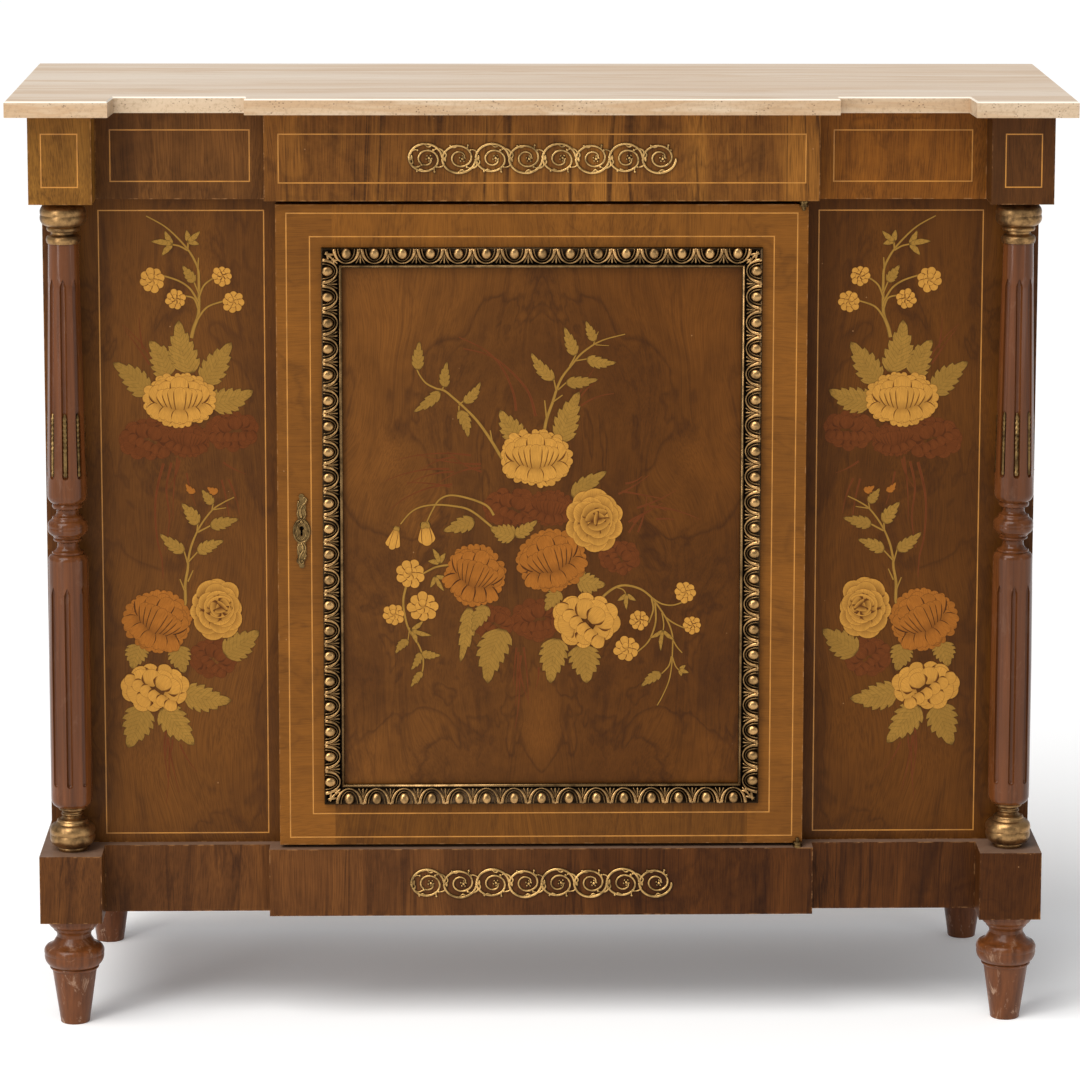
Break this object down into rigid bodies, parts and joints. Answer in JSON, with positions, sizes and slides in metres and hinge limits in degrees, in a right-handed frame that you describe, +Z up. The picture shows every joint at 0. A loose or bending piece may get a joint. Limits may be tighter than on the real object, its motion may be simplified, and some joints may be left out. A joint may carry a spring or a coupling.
{
  "type": "side cabinet",
  "caption": "Breakfront side cabinet with a stone top, hidden frieze drawer, one marquetry door with brass egg-and-dart frame, fluted columns and turned feet.",
  "frame": {"origin": "on the floor, under the middle of the cabinet's overall box", "axes": "+X to the cabinet's right as seen from the front, +Y to its back, +Z up"},
  "size_m": [1.18, 0.43, 1.06],
  "materials": {
    "travertine": "honed travertine with fine bands, unfilled pits at the edge",
    "walnut_veneer": "figured walnut veneer, satin lacquer, light wear at the arrises",
    "marquetry_ground": "dark figured veneer with floral marquetry in lighter woods, satin lacquer",
    "walnut_crossband": "crossbanded walnut veneer with boxwood lines, satin lacquer",
    "polished_mahogany": "turned, stained reddish brown, glossy",
    "carcass_wood": "plain sawn and planed wood, waxed",
    "aged_brass": "cast and turned brass with age in the hollows",
    "antique_brass": "dark antique brass with rubbed high points",
    "lock_steel": "plain steel, dull"
  },
  "bodies": {
    "cabinet": {"back_panel": "carcass_wood", "capital_left": "aged_brass", "capital_right": "aged_brass", "carcass_side_left": "walnut_veneer", "carcass_side_right": "walnut_veneer", "column_base_left": "aged_brass", "column_base_right": "aged_brass", "column_left": "polished_mahogany", "column_right": "polished_mahogany", "drawer_guides": "carcass_wood", "floor_board": "carcass_wood", "flute_inserts": "aged_brass", "foot_front_left": "polished_mahogany", "foot_front_right": "polished_mahogany", "foot_rear_left": "polished_mahogany", "foot_rear_right": "polished_mahogany", "frieze_back": "carcass_wood", "frieze_block_left": "walnut_veneer", "frieze_block_right": "walnut_veneer", "frieze_board": "carcass_wood", "frieze_side_front_left": "walnut_veneer", "frieze_side_front_right": "walnut_veneer", "frieze_side_left": "walnut_veneer", "frieze_side_right": "walnut_veneer", "front_panel_left": "marquetry_ground", "front_panel_right": "marquetry_ground", "hinge_fixed_leaves": "aged_brass", "plinth_back": "carcass_wood", "plinth_block_left": "walnut_veneer", "plinth_block_right": "walnut_veneer", "plinth_front": "walnut_veneer", "plinth_mount": "aged_brass", "plinth_rail": "walnut_veneer", "plinth_side_left": "walnut_veneer", "plinth_side_right": "walnut_veneer", "rear_foot_blocks": "carcass_wood", "shelf": "carcass_wood", "shelf_pegs": "aged_brass", "stone_top": "travertine", "strike_plate": "aged_brass", "top_rail": "carcass_wood"},
    "door": {"door_stile_left": "walnut_crossband", "door_stile_right": "walnut_crossband", "door_rail_top": "walnut_crossband", "door_rail_bottom": "walnut_crossband", "door_panel": "marquetry_ground", "egg_and_dart": "antique_brass", "key_plate": "aged_brass", "lock_case": "lock_steel", "hinge_door_leaves": "aged_brass"},
    "bolt": {"lock_bolt": "lock_steel"},
    "drawer": {"drawer_front": "walnut_veneer", "drawer_side_left": "carcass_wood", "drawer_side_right": "carcass_wood", "drawer_back": "carcass_wood", "drawer_bottom": "carcass_wood", "drawer_mount": "aged_brass"}
  },
  "joints": [
    {"name": "door_hinge", "type": "hinge", "parent": "cabinet", "child": "door", "pos_m": [0.2915, -0.1585, 0.5705], "axis": [0, 0, 1], "range_deg": [0, 150]},
    {"name": "bolt_slide", "type": "slide", "parent": "door", "child": "bolt", "axis": [-1, 0, 0], "range_m": [0, 0.008]},
    {"name": "drawer_slide", "type": "slide", "parent": "cabinet", "child": "drawer", "axis": [0, -1, 0], "range_m": [0, 0.25]}
  ]
}
